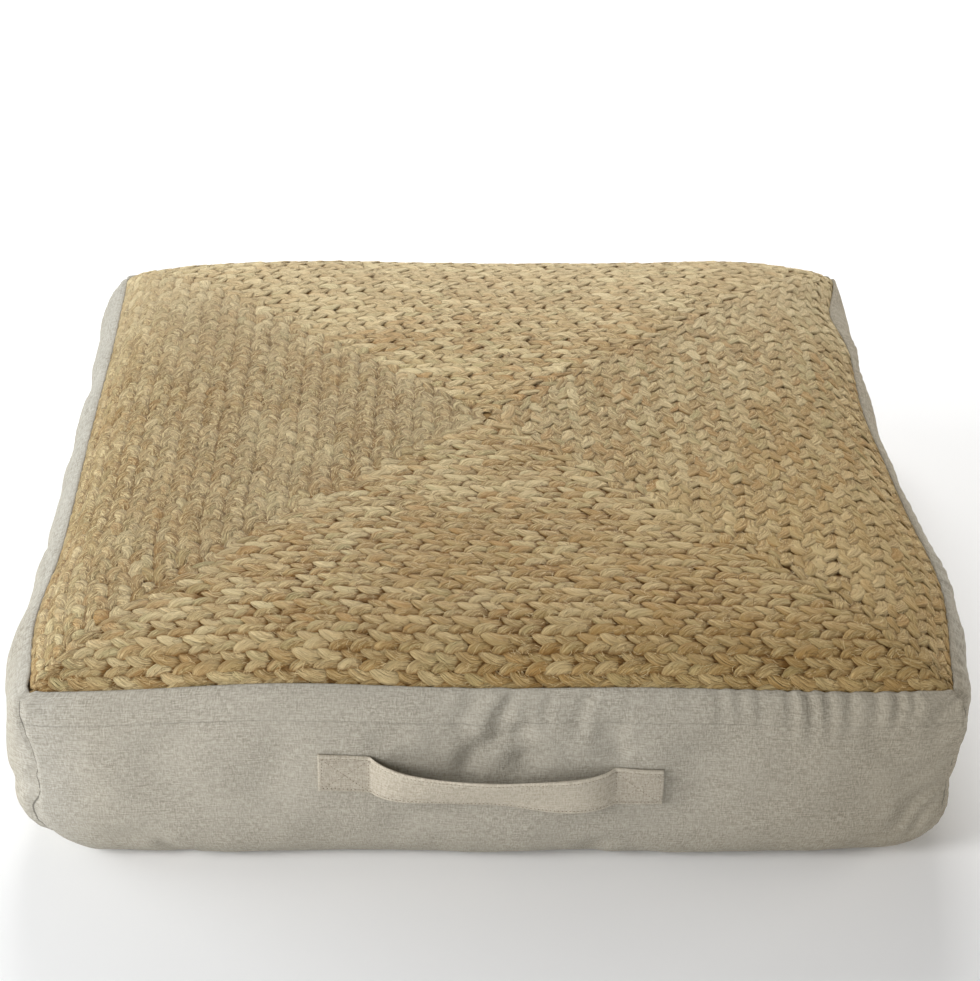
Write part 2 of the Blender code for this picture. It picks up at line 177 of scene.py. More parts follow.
# Folds drawn in the cloth, by side: top along and height, foot along and height, half width,
# depth, height of the ridge beside it, and on which hand the ridge stands (1 right, -1 left).
FOLDS = {
    "front": (
        (0.013, 0.134, 0.002, 0.105, 0.0046, 0.0034, 0.0026, -1),
        (0.002, 0.105, -0.018, 0.085, 0.009, 0.005, 0.0024, -1),
        (0.016, 0.112, 0.023, 0.088, 0.0095, 0.0054, 0.0022, 1),
        (-0.011, 0.133, -0.019, 0.108, 0.006, 0.0016, 0.0012, -1),
        (-0.02, 0.112, -0.033, 0.095, 0.009, 0.0018, 0.0008, -1),
        (0.0245, 0.134, 0.0225, 0.117, 0.004, 0.0018, 0.0014, -1),
        (0.0365, 0.134, 0.034, 0.114, 0.0042, 0.0022, 0.0018, -1),
        (0.047, 0.133, 0.045, 0.118, 0.004, 0.0014, 0.001, -1),
        (0.0595, 0.1345, 0.0535, 0.113, 0.0036, 0.003, 0.002, 1),
        (0.069, 0.113, 0.08, 0.096, 0.009, 0.0028, 0.0014, -1),
        (0.0815, 0.118, 0.08, 0.093, 0.003, 0.0016, 0.001, 1),
        (-0.056, 0.112, -0.076, 0.098, 0.007, 0.0014, 0.0006, -1),
        (0.048, 0.097, 0.012, 0.086, 0.008, 0.0018, 0.001, 1),
        (-0.01, 0.054, -0.056, 0.046, 0.01, 0.0012, 0.0006, 1),
        (0.289, 0.13, 0.27, 0.117, 0.0055, 0.0028, 0.0018, -1),
        (0.286, 0.116, 0.273, 0.101, 0.0065, 0.0014, 0.001, -1),
        (0.286, 0.066, 0.26, 0.036, 0.0065, 0.003, 0.002, -1),
        (0.288, 0.056, 0.27, 0.028, 0.0045, 0.0022, 0.0014, -1),
        (0.288, 0.085, 0.256, 0.056, 0.008, 0.0016, 0.001, -1),
        (0.235, 0.113, 0.256, 0.088, 0.008, 0.0012, 0.0008, -1),
        (-0.285, 0.114, -0.256, 0.102, 0.006, 0.0016, 0.001, 1),
        (-0.285, 0.098, -0.26, 0.088, 0.006, 0.0014, 0.0008, 1),
        (-0.285, 0.072, -0.25, 0.06, 0.008, 0.0016, 0.0008, 1),
        (-0.278, 0.042, -0.23, 0.026, 0.009, 0.002, 0.001, 1),
        (-0.208, 0.104, -0.198, 0.056, 0.023, 0.0036, 0.0, 1),
        (-0.126, 0.106, -0.14, 0.06, 0.018, 0.0026, 0.0, 1),
        (0.145, 0.106, 0.125, 0.048, 0.022, 0.003, 0.0, 1),
        (-0.214, 0.02, -0.202, 0.004, 0.006, 0.003, 0.0016, 1),
        (0.072, 0.022, 0.064, 0.006, 0.008, 0.0024, 0.0012, 1),
    ),
    "left": (
        (-0.286, 0.125, -0.256, 0.108, 0.007, 0.002, 0.0012, -1),
        (0.286, 0.118, 0.256, 0.096, 0.008, 0.0018, 0.001, 1),
        (-0.12, 0.124, -0.15, 0.062, 0.015, 0.0026, 0.001, -1),
        (0.1, 0.122, 0.132, 0.056, 0.016, 0.0024, 0.001, 1),
        (0.284, 0.062, 0.25, 0.036, 0.008, 0.0024, 0.0012, 1),
    ),
    "right": (
        (-0.286, 0.124, -0.258, 0.106, 0.007, 0.002, 0.0012, -1),
        (-0.284, 0.07, -0.254, 0.04, 0.007, 0.0026, 0.0014, -1),
        (0.14, 0.124, 0.11, 0.054, 0.016, 0.0028, 0.0012, 1),
        (-0.03, 0.12, -0.06, 0.064, 0.014, 0.0022, 0.001, 1),
        (0.284, 0.12, 0.254, 0.096, 0.008, 0.002, 0.001, 1),
    ),
    "back": (
        (-0.286, 0.124, -0.256, 0.104, 0.008, 0.002, 0.0012, -1),
        (-0.13, 0.124, -0.106, 0.056, 0.016, 0.0028, 0.0012, 1),
        (0.126, 0.123, 0.156, 0.052, 0.017, 0.0026, 0.0012, -1),
        (0.285, 0.07, 0.252, 0.04, 0.008, 0.0026, 0.0014, 1),
    ),
}

# Small gathers hanging from the top seam: place along the front, length, depth, lean.
FRONT_GATHERS = (
    (0.1215, 0.016, 0.0008, -0.10), (0.1400, 0.022, 0.0013, 0.05), (0.1530, 0.018, 0.0009, 0.00),
    (0.1655, 0.024, 0.0014, 0.04), (0.1730, 0.016, 0.0008, 0.00), (0.1835, 0.026, 0.0018, 0.02),
    (0.1960, 0.028, 0.0021, 0.05), (0.2075, 0.024, 0.0017, -0.04), (0.2225, 0.022, 0.0016, -0.10),
    (0.2390, 0.018, 0.0012, -0.16), (0.2525, 0.022, 0.0017, -0.22), (0.2610, 0.020, 0.0012, -0.26),
    (0.1040, 0.014, 0.0005, 0.00), (0.0860, 0.015, 0.0006, -0.10), (0.0700, 0.014, 0.0007, -0.10),
    (-0.0300, 0.016, 0.0005, 0.08), (-0.0520, 0.014, 0.0004, 0.10), (-0.2600, 0.012, 0.0004, 0.00),
)


def other_gathers():
    """Gathers on the three other sides, spread unevenly along their seams."""
    rng = random.Random(11)
    rows = []
    for side in (1, 2, 3):
        at = -0.27
        while at < 0.27:
            strong = 0.35 + 0.65 * abs(noise.noise(Vector((at * 9.0, side * 3.1, 0.0)))) * 2.0
            length = rng.uniform(0.012, 0.024)
            deep = 0.0016 * min(strong, 1.1) * rng.random()
            rows.append((side, at, length, deep, rng.uniform(-0.15, 0.15)))
            at += rng.uniform(0.009, 0.024)
    return rows


def fold_relief(side, along, z):
    """Outward relief of the drawn folds."""
    relief = np.zeros_like(z)
    rows = [(SIDES.index(name), *fold) for name, folds in FOLDS.items() for fold in folds]
    for which, x0, z0, x1, z1, width, deep, ridge, hand in rows:
        dx = x1 - x0
        dz = z1 - z0
        length = math.hypot(dx, dz)
        t = ((along - x0) * dx + (z - z0) * dz) / length ** 2
        ends = smooth((t + 0.35) / 0.5) * smooth((1.4 - t) / 0.6)
        held = np.clip(t, 0.0, 1.0)
        bend = 0.12 * length * np.sin(math.pi * held)
        across = ((z - z0) * dx - (along - x0) * dz) / length + bend
        past = np.maximum(np.abs(t - held) * length - 0.004, 0.0)
        near = np.exp(-(across / width) ** 2 - (past / (2.0 * width)) ** 2)
        beside = np.exp(-((across - hand * 1.9 * width) / (1.1 * width)) ** 2)
        relief += np.where(side == which, ends * (0.65 * ridge * beside - deep * near), 0.0)
    return relief


def gather_relief(side, along, z, seam_z):
    """Outward relief of the little gathers below the top seam."""
    below = seam_z - z
    relief = np.zeros_like(z)
    rows = [(0, *row) for row in FRONT_GATHERS] + other_gathers()
    for which, at, length, deep, lean in rows:
        across = along - at - lean * below
        reach = length * (1.6 if deep > 0.0011 else 1.2)
        down = smooth((below + 0.003) / 0.003) * smooth((reach - below) / (0.85 * reach))
        groove = np.exp(-(across / 0.0025) ** 2)
        crest = np.exp(-((across - 0.0052) / 0.0034) ** 2)
        crest += 0.5 * np.exp(-((across + 0.0050) / 0.0030) ** 2)
        relief += np.where(side == which, 1.10 * deep * down * (0.8 * crest - groove), 0.0)
    return relief


def cloudy(points, scale, seed):
    """Smooth uneven value at each point, about -1 to 1."""
    offset = Vector((seed * 7.3, seed * 3.1, seed * 1.7))
    flat = points.reshape(-1, 3) * scale
    values = [noise.noise(Vector(p) + offset) for p in flat.tolist()]
    return np.array(values).reshape(points.shape[:-1])


# Course of the front left corner seam: height, distance on to the front panel.
CORNER_SEAM = (
    (0.000, -0.0040), (0.045, -0.0028), (0.060, 0.0022), (0.072, 0.0006), (0.087, 0.0054),
    (0.101, 0.0049), (0.135, 0.0030),
)


def from_corner_seam(side, s, z):
    """Distance from the nearest corner seam, which wanders a little on its way down."""
    which = np.where(s < 0.0, side, (side + 1) % 4)
    drawn = np.interp(z, *zip(*CORNER_SEAM))
    offset = np.where(which == 0, drawn, 0.0026 + 0.0018 * np.sin(z * 70.0 + which))
    corner = (1.0 - np.abs(s)) * PANEL_HALF
    return np.where(s < 0.0, corner, -corner) - offset


def sewn_relief(side, s, along, z, seam_z):
    """Seam allowance showing through below the top seam, and the drawn-in corner seams."""
    wave = 0.0008 * np.sin(along * 41.0) + 0.0005 * np.sin(along * 97.0 + 1.0)
    ledge = 0.00045 * smooth((z - (seam_z - 0.0215 + wave)) / 0.0016)
    corner = (1.0 - np.abs(s)) * PANEL_HALF
    to_seam = from_corner_seam(side, s, z)
    pucker = 0.0004 * np.sin(z * 2 * math.pi / 0.0085 + side) * np.exp(-corner / 0.010)
    groove = -0.0016 * np.exp(-(to_seam / 0.0016) ** 2)
    swell = 0.0006 * np.exp(-((np.abs(to_seam) - 0.0042) / 0.0030) ** 2)
    fade = smooth(z / 0.012)
    return ledge + (pucker + groove + swell) * fade


def grid_faces(rows, columns, ring):
    """Faces of a grid of points, closed into a ring along its columns if asked."""
    wide = columns if ring else columns - 1
    i = np.arange(rows - 1)[:, None] * columns
    j = np.arange(wide)[None, :]
    k = (j + 1) % columns
    return np.stack([i + j, i + k, i + columns + k, i + columns + j], axis=-1).reshape(-1, 4)


def make_piece(name, points, faces, material, uv=None):
    """A smooth mesh from points and four-cornered faces, with a flat length coordinate."""
    mesh = bpy.data.meshes.new(name)
    mesh.vertices.add(len(points))
    mesh.vertices.foreach_set("co", points.astype(np.float32).ravel())
    mesh.loops.add(faces.size)
    mesh.loops.foreach_set("vertex_index", faces.astype(np.int32).ravel())
    mesh.polygons.add(len(faces))
    mesh.polygons.foreach_set("loop_start", np.arange(0, faces.size, faces.shape[1], dtype=np.int32))
    mesh.polygons.foreach_set("use_smooth", np.ones(len(faces), dtype=bool))
    if uv is not None:
        layer = mesh.uv_layers.new(name="length")
        layer.data.foreach_set("uv", uv.astype(np.float32).ravel())
    mesh.update(calc_edges=True)
    mesh.validate()
    mesh.materials.append(material)
    piece = bpy.data.objects.new(name, mesh)
    bpy.context.scene.collection.objects.link(piece)
    return piece


class Shade:
    """One value in a material. Plain arithmetic on it builds the nodes."""

    def __init__(self, look, socket):
        self.look = look
        self.socket = socket

    def combine(self, operation, a, b):
        """Add the node of a sum: on numbers, or on vectors where either side is one."""
        wide = any(isinstance(v, Shade) and v.socket.type in ("VECTOR", "RGBA") for v in (a, b))
        if not wide:
            return self.look.node("ShaderNodeMath", {"operation": operation}, {0: a, 1: b})
        a, b = (v if isinstance(v, (Shade, tuple)) else (v, v, v) for v in (a, b))
        return self.look.node("ShaderNodeVectorMath", {"operation": operation}, {0: a, 1: b})

    def __add__(self, other):
        return self.combine("ADD", self, other)

    def __radd__(self, other):
        return self.combine("ADD", other, self)

    def __sub__(self, other):
        return self.combine("SUBTRACT", self, other)

    def __rsub__(self, other):
        return self.combine("SUBTRACT", other, self)

    def __mul__(self, other):
        return self.combine("MULTIPLY", self, other)

    def __rmul__(self, other):
        return self.combine("MULTIPLY", other, self)

    def __truediv__(self, other):
        return self.combine("DIVIDE", self, other)

    def __pow__(self, other):
        return self.combine("POWER", self, other)

    def __abs__(self):
        return self.look.node("ShaderNodeMath", {"operation": "ABSOLUTE"}, {0: self})


class Look:
    """A material being made up from procedural parts."""

    def __init__(self, name, roughness):
        self.material = bpy.data.materials.new(name)
        self.material.use_nodes = True
        self.tree = self.material.node_tree
        self.shader = self.tree.nodes["Principled BSDF"]
        self.shader.inputs["Roughness"].default_value = roughness
        self.shader.inputs["Specular IOR Level"].default_value = 0.25

    def node(self, kind, settings, inputs, output=0):
        """Add a node: its settings first, then its inputs as values or links."""
        node = self.tree.nodes.new(kind)
        for name, value in settings.items():
            setattr(node, name, value)
        for name, value in inputs.items():
            if isinstance(value, Shade):
                self.tree.links.new(value.socket, node.inputs[name])
            else:
                node.inputs[name].default_value = value
        return Shade(self, node.outputs[output])

    def flat(self):
        """Place along and across the cloth or the strand."""
        return self.node("ShaderNodeUVMap", {"uv_map": "length"}, {})

    def place(self):
        """Place in space, from the middle of the base."""
        return self.node("ShaderNodeTexCoord", {}, {}, "Object")

    def part(self, vector, axis):
        """One of a vector's three numbers."""
        return self.node("ShaderNodeSeparateXYZ", {}, {"Vector": vector}, axis)

    def carried(self, name):
        """Number stored at the points of the piece."""
        return self.node("ShaderNodeAttribute", {"attribute_name": name}, {}, "Fac")

    def cloudy(self, where, scale, detail=2.0, rough=0.5):
        """Soft chance value, about 0 to 1, that varies with place."""
        inputs = {"Vector": where * scale, "Scale": 1.0, "Detail": detail, "Roughness": rough}
        return self.node("ShaderNodeTexNoise", {}, inputs)

    def slant(self, where, degrees):
        """The same places, turned by an angle."""
        inputs = {"Vector": where, "Angle": math.radians(degrees)}
        return self.node("ShaderNodeVectorRotate", {"rotation_type": "Z_AXIS"}, inputs)

    def band(self, value, low, high):
        """0 below low, 1 above high, smooth between."""
        inputs = {"Value": value, "From Min": low, "From Max": high}
        return self.node("ShaderNodeMapRange", {"interpolation_type": "SMOOTHSTEP"}, inputs)

    def blend(self, amount, a, b):
        """Colour a where the amount is 0, and b where it is 1."""
        a, b = ((*v, 1.0) if isinstance(v, tuple) else v for v in (a, b))
        return self.node("ShaderNodeMix", {"data_type": "RGBA"}, {0: amount, 6: a, 7: b}, 2)

    def finish(self, colour, relief=None, depth=0.001):
        """Join colour and relief to the surface."""
        self.tree.links.new(colour.socket, self.shader.inputs["Base Color"])
        if relief is not None:
            bump = self.node("ShaderNodeBump", {}, {"Strength": 1.0, "Distance": depth, "Height": relief})
            self.tree.links.new(bump.socket, self.shader.inputs["Normal"])
        return self.material


def cloth_look(name, pale, dark, seams=False, painted_handle_light=False):
    """Plain-weave cotton and linen: uneven threads both ways, with darker flecks.

    With seams, it shows the ledge of the turned-in edge, painted shade along the corner seams and
    at the right end, and painted cool light at the left end. For the handle, the band is painted
    lighter than its tabs, with painted highlights on its folded edges.
    """
    look = Look(name, 0.95)
    flat = look.flat()
    warp = look.cloudy(flat, (1050.0, 240.0, 1.0), 1.0, 0.5)
    weft = look.cloudy(flat, (220.0, 1050.0, 1.0), 1.0, 0.5)
    fleck = look.cloudy(flat, (850.0, 850.0, 1.0), 2.0, 0.6)
    slub = look.cloudy(flat, (26.0, 1100.0, 1.0), 1.0, 0.5)
    patch = 0.6 * look.cloudy(look.place(), 24.0, 2.0) + 0.4 * look.cloudy(look.place(), 95.0, 1.0)
    grain = look.band(0.31 * warp + 0.31 * weft + 0.22 * fleck + 0.16 * slub, 0.38, 0.62)
    tone = look.blend(grain, dark, pale)
    tone = look.blend(look.band(patch, 0.38, 0.64) * 0.32, tone, tuple(0.86 * c for c in pale))
    if seams:
        # Painted shade: a dark line along the corner seams.
        seam = look.carried("seam")
        ragged = 0.0005 * look.cloudy(flat, 900.0, 1.0)
        line = look.band(abs(seam) + ragged, 0.0009, 0.0003)
        tone = look.blend(line * 0.80, tone, tuple(0.32 * c for c in dark))
        x = look.part(look.place(), "X")
        # Painted shade, warmer and darker, at the right end, and painted cool light at the left end,
        # where the left lamp reaches.
        right_end_shade = look.band(x, 0.06, 0.29) * look.band(x, 0.304, 0.293)
        left_end_light = look.band(x, -0.245, -0.285) * look.band(x, -0.306, -0.294)
        tone = tone * look.blend(right_end_shade, (1.0, 1.0, 1.0), (0.91, 0.88, 0.83))
        tone = tone * look.blend(left_end_light, (1.0, 1.0, 1.0), (1.06, 1.08, 1.12))
    if painted_handle_light:
        x = look.part(look.place(), "X")
        # Painted light: the band lighter than its tabs.
        tone = tone * (1.06 - 0.17 * look.band(abs(x), 0.074, 0.082))
        # Painted highlights along the folded edges.
        width = look.part(flat, "Y")
        edge_highlight = look.band(abs(width - 0.0137), 0.0119, 0.0130)
        edge_highlight = edge_highlight + look.band(abs(x + 0.001), 0.1075, 0.1086)
        tone = tone * (1.0 + 0.16 * edge_highlight)
    relief = 0.45 * (warp + weft) + 0.55 * fleck
    if seams:
        drop = look.carried("drop")
        ledge = look.band(drop + 0.0012 * look.cloudy(flat, 60.0, 1.0), 0.0224, 0.0212)
        relief = relief + 1.1 * ledge
    return look.finish(tone, relief, 0.00050)


CLOTH_PALE = (0.437, 0.407, 0.341)
CLOTH_DARK = (0.265, 0.241, 0.193)
COVER_STATIONS = 170                    # points along each side
BULGE_POWERS = (6.0, 16.0, 8.0, 30.0)   # by side: how far the bulge reaches to the corners
BULGE_SHARES = (1.0, 0.70, 1.0, 1.05)   # by side: how full it is
CORNER_LIFT = 0.007                     # how far the lower corners lift off the floor
PANEL_APART = 0.61                      # from one panel to the next, along the cloth's weave

# Flares of the cloth beside the front corners: x, y, reach, height at which they start, height
# over which they grow, share left at the seam, how far they go.
CORNER_FLARES = (
    (-0.290, -0.290, 0.020, 0.070, 0.050, 0.35, -0.0065),
    (0.290, -0.285, 0.024, 0.080, 0.040, 0.00, 0.0052),
)


def cover_shape():
    """Grid of points of the cover, the side and place of each, the seam's height, the rows."""
    t = np.arange(COVER_STATIONS) / COVER_STATIONS * 2.0 - 1.0
    s_row = np.tile(1.18 * t - 0.18 * t ** 3, 4)
    side_row = np.repeat(np.arange(4), COVER_STATIONS)
    rows = through(COVER_ROWS, cover_places())
    side = np.tile(side_row, (len(rows), 1))
    s = np.tile(s_row, (len(rows), 1))
    z, corner, front_half, side_half, power, share = (rows[:, k][:, None] for k in range(6))
    shift, lift = seam_wave(side, s)
    turned = side % 2 == 1
    middle = np.where(turned, side_half, front_half)
    bulge = 1.0 - np.abs(s) ** np.choose(side, BULGE_POWERS)
    half = corner + np.choose(side, BULGE_SHARES) * (middle - corner) * bulge
    pushed = half - corner + shift * share + side_bulge(side, s, z)
    x, y = on_side(side, s, corner, power, pushed)
    free = smooth((SEAM_HEIGHT - 0.0005 - z) / 0.004)
    for at_x, at_y, reach, start, rise, kept, out in CORNER_FLARES:
        flare = np.exp(-((x - at_x) ** 2 + (y - at_y) ** 2) / reach ** 2) * smooth((z - start) / rise)
        x = x + out * flare * (kept + (1.0 - kept) * free)
    narrow = np.where((side == 0) & (s > 0.0), 8.0, 14.0)
    lifted = CORNER_LIFT * np.abs(s) ** narrow * smooth(z / 0.010) * smooth((0.040 - z) / 0.040)
    z = FLOOR_Z + z + lift * share + lifted
    return np.stack([x, y, z], axis=-1), side, s, s * PANEL_HALF, SEAM_Z + lift, rows


def cover_relief(points, side, s, along, seam_z):
    """How far each point stands out from the plain filled shape."""
    z = points[..., 2] - FLOOR_Z
    relief = fold_relief(side, along, z) + gather_relief(side, along, z, seam_z - FLOOR_Z)
    relief *= smooth((seam_z - FLOOR_Z - z + 0.003) / 0.005)
    relief += sewn_relief(side, s, along, z, seam_z - FLOOR_Z)
    low = smooth((0.050 - z) / 0.050)
    lumps = 0.0028 * cloudy(points, 13.0, 3) + 0.0011 * cloudy(points, 38.0, 5)
    lumps += low * (0.0016 * cloudy(points, 26.0, 8) + 0.0008 * cloudy(points, 60.0, 9))
    return relief + lumps * smooth((seam_z - FLOOR_Z - z + 0.002) / 0.010)


def outward(points):
    """Unit outward normals of a ring-closed grid."""
    round_ring = np.roll(points, -1, axis=1) - np.roll(points, 1, axis=1)
    up = np.gradient(points, axis=0)
    normal = np.cross(round_ring, up)
    return normal / np.maximum(np.linalg.norm(normal, axis=-1, keepdims=True), 1e-9)


def make_cover():
    """Points and faces of the cover, its cloth's weave, and where its seams lie."""
    points, side, s, along, seam_z, rows = cover_shape()
    normal = outward(points)
    z = points[..., 2] - FLOOR_Z
    shown = smooth((z - 0.0005) / 0.010)
    shown[rows[:, 1] < 0.262] = 0.0
    points = points + normal * (cover_relief(points, side, s, along, seam_z) * shown)[..., None]
    points[..., 2] = np.maximum(points[..., 2], FLOOR_Z)
    count = points.shape[1]
    faces = grid_faces(len(points), count, True)
    steps = np.linalg.norm(np.diff(points[:, count // 8], axis=0), axis=-1)
    up = np.concatenate([[0.0], np.cumsum(steps)])
    j = np.arange(count)
    first = s[0] * PANEL_HALF
    after = np.where((j + 1) % COVER_STATIONS == 0, 1.0, s[0][(j + 1) % count]) * PANEL_HALF
    base = j // COVER_STATIONS * PANEL_APART
    quad = np.zeros((len(points) - 1, count, 4, 2))
    for corner, (across, row) in enumerate(((first, 0), (after, 0), (after, 1), (first, 1))):
        quad[:, :, corner, 0] = (across + base)[None, :]
        quad[:, :, corner, 1] = up[row:len(points) - 1 + row][:, None]
    drop = seam_z - FLOOR_Z - z
    # Distance from the corner seams, which places the painted shade line along them.
    seam = from_corner_seam(side, s, z)
    hidden = smooth((0.012 - z) / 0.012) + smooth((0.004 - drop) / 0.004)
    seam = seam + 0.05 * np.sign(seam) * hidden
    return points.reshape(-1, 3), faces, quad.reshape(-1, 2), count, seam.ravel(), drop.ravel()


# Rings that close the cover under the mat, from its edge to its middle: share of the size
# kept, rise.
INNER_RINGS = (
    (0.985, 0.001), (0.940, 0.008), (0.860, 0.015), (0.700, 0.021), (0.400, 0.024),
    (0.040, 0.024), (0.000, 0.024),
)


def inner_top(points, faces, uv, count):
    """Close the cover under the mat with a few plain rings."""
    rings = []
    last = points[-count:]
    middle = last[:, 2].mean()
    for keep, lift in INNER_RINGS:
        ring = last * (keep, keep, 1.0)
        height = last[:, 2] if keep else middle
        ring[:, 2] = height * 0.4 + (SEAM_Z - 0.004) * 0.6 + lift - 0.008
        rings.append(ring)
    extra = grid_faces(len(rings) + 1, count, True) + len(points) - count
    uv = np.concatenate([uv, np.zeros((extra.size, 2))])
    return np.concatenate([points] + rings), np.concatenate([faces, extra]), uv


def carry(piece, layers):
    """Store numbers at the points of a piece, under the names by which its look reads them."""
    for name, values in layers.items():
        layer = piece.data.attributes.new(name, "FLOAT", "POINT")
        layer.data.foreach_set("value", np.concatenate(values).astype(np.float32))


cloth = cloth_look("natural_cloth", CLOTH_PALE, CLOTH_DARK, seams=True)
cover_points, cover_faces, cover_uv, ring_count, seam_distance, seam_drop = make_cover()
cover_points, cover_faces, cover_uv = inner_top(cover_points, cover_faces, cover_uv, ring_count)
cover = make_piece("cushion_cover", cover_points, cover_faces, cloth, cover_uv)
spare = np.full(len(cover_points) - len(seam_distance), 0.05)
carry(cover, {"seam": (seam_distance, spare), "drop": (seam_drop, spare)})
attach(cover, "root")
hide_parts("cushion_body")

# ========================================
# The braided mat. A long three-strand braid of undyed jute is sewn round and round, edge to
# edge, into a square spiral with mitred corners. It lies over the crown of the filling and its
# last row is caught in the top seam.
# ========================================
CROWN_RISE = 0.031         # how far the crown stands over the seam
CROWN_ROLL = 0.024         # how soon the mat turns over from the seam to the crown
DOME_RISE = 0.006          # further rise to the middle of the mat
ROW_PITCH = 0.0137         # width of one row
MAT_THICK = 0.0085
LOBE_PITCH = 0.0146        # length of one lobe along the edge of the braid
FIRST_LEG = 0.06           # distance of the first leg from the middle, in rows
STRAND_WIDE = 0.0044       # half width of a strand
STRAND_THICK = 0.0022      # half thickness of a strand
BRAID_SWING = 0.0059       # how far a strand swings to each side
BRAID_LIFT = 0.0019        # how far it rises as it crosses over
STRAND_TILT = 0.21         # how much the leading edge of a lobe stands over the next
FELTED_RISE = 0.0016       # height of the braid's middle where it is flattest


def walk_up():
    """Table of lengths walked in from the seam over the crown, against distance in plan."""
    inset = np.linspace(0.0, SEAM_HALF, 1200)
    rise = CROWN_RISE / CROWN_ROLL * np.exp(-inset / CROWN_ROLL)
    step = np.diff(inset, prepend=0.0) * np.sqrt(1.0 + rise ** 2)
    return inset, np.cumsum(step)


PLAN_INSETS, ARC_INSETS = walk_up()
MAT_HALF = float(ARC_INSETS[-1])      # half width of the mat, laid flat


def top_surface(p, q):
    """Top of the mat for places p, q measured along it from its middle."""
    arc_x = MAT_HALF - np.abs(p)
    arc_y = MAT_HALF - np.abs(q)
    inset_x = np.interp(arc_x, ARC_INSETS, PLAN_INSETS)
    inset_y = np.interp(arc_y, ARC_INSETS, PLAN_INSETS)
    tucked = np.maximum(0.0, np.maximum(-arc_x, -arc_y))
    x0 = np.sign(p) * (SEAM_HALF - inset_x)
    y0 = np.sign(q) * (SEAM_HALF - inset_y)
    big = np.maximum(np.maximum(np.abs(x0), np.abs(y0)), 1e-6)
    on_x = np.abs(x0) > np.abs(y0)
    side = np.where(on_x, np.where(x0 > 0, 1, 3), np.where(y0 > 0, 2, 0))
    s = np.choose(side, (x0, y0, -x0, -y0)) / big
    shift, lift = seam_wave(side, s)
    inset = SEAM_HALF - big
    share = np.clip(1.0 - inset / SEAM_HALF, 0.0, 1.0) ** 1.6
    x, y = on_side(side, s, big, SEAM_POWER, shift * share)
    near = np.maximum(np.minimum(inset_x, inset_y), 1e-6)
    far = np.maximum(np.maximum(inset_x, inset_y), 1e-6)
    roll = 1.0 - np.exp(-near * (1.0 + (near / far) ** 4) ** -0.25 / CROWN_ROLL)
    dome = (1.0 - (x0 / SEAM_HALF) ** 2) * (1.0 - (y0 / SEAM_HALF) ** 2)
    lumps = 0.0012 * np.sin(17.0 * x + 1.0) * np.sin(15.0 * y + 0.4) * roll
    z = SEAM_Z + lift * share + CROWN_RISE * roll + DOME_RISE * dome + lumps
    inward = np.minimum(tucked, 0.004) * 0.60 / big
    return np.stack([x * (1.0 - inward), y * (1.0 - inward), z - tucked], axis=-1)


def lay(p, q, below):
    """Carry points of the flat mat onto the crown, at a depth below its top surface."""
    e = 0.0015
    across = top_surface(p + e, q) - top_surface(p - e, q)
    along = top_surface(p, q + e) - top_surface(p, q - e)
    normal = np.cross(across, along)
    normal /= np.maximum(np.linalg.norm(normal, axis=-1, keepdims=True), 1e-12)
    return top_surface(p, q) - normal * below[..., None]


def leg_distance(j):
    """Distance from the middle of the spiral's leg number j, to the middle of its braid."""
    return ROW_PITCH * (FIRST_LEG + 0.25 * j)


def leg_count():
    """Legs needed until the braid passes under the seam all round."""
    j = 0
    while leg_distance(j) < MAT_HALF + 0.62 * ROW_PITCH:
        j += 1
    return j


LEGS = leg_count()
LEG_LENGTHS = np.array([leg_distance(j - 1) + leg_distance(j + 1) for j in range(LEGS)])
LEG_STARTS = np.concatenate([[0.0], np.cumsum(LEG_LENGTHS)])


def on_spiral(u, v):
    """Flat place of a point a length u along the braid and v out from its middle."""
    leg = np.clip(np.searchsorted(LEG_STARTS, u, side="right") - 1, 0, LEGS - 1)
    t = u - LEG_STARTS[leg]
    length = LEG_LENGTHS[leg]
    reach = np.minimum(1.7 * ROW_PITCH, 0.5 * length)
    t = t - v * (1.0 - smooth(t / reach)) + v * (1.0 - smooth((length - t) / reach))
    out = leg_distance(leg) + v
    begin = leg_distance(leg - 1)
    along = begin - t
    turn = leg % 4
    p = np.choose(turn, (along, -out, -along, out))
    q = np.choose(turn, (-out, -along, out, along))
    return p, q


def rounded(u, v, below):
    """Place on the crown, with the sharp corners of the spiral eased a little."""
    e = 0.0022
    p0, q0 = on_spiral(u - e, v)
    p1, q1 = on_spiral(u, v)
    p2, q2 = on_spiral(u + e, v)
    return lay((p0 + p1 + p2) / 3.0, (q0 + q1 + q2) / 3.0, below)


def uneven(u, seed, scale):
    """Slowly varying value along a strand, about -1 to 1."""
    rng = np.random.default_rng(seed)
    phases = rng.uniform(0.0, 2 * math.pi, 5)
    rates = rng.uniform(0.5, 1.9, 5) / scale
    return sum(np.sin(u * r + f) for r, f in zip(rates, phases)) / 2.6


def by_lobe(phase, seed):
    """A chance value for each lobe of a strand, changing over where the strand is hidden."""
    rng = np.random.default_rng(seed)
    turns = phase / math.pi + 0.96
    lobe = np.floor(turns).astype(int) + 2
    values = rng.uniform(-1.0, 1.0, lobe.max() + 3)
    change = smooth((turns - np.floor(turns)) / 0.24)
    return values[lobe - 1] * (1.0 - change) + values[lobe] * change


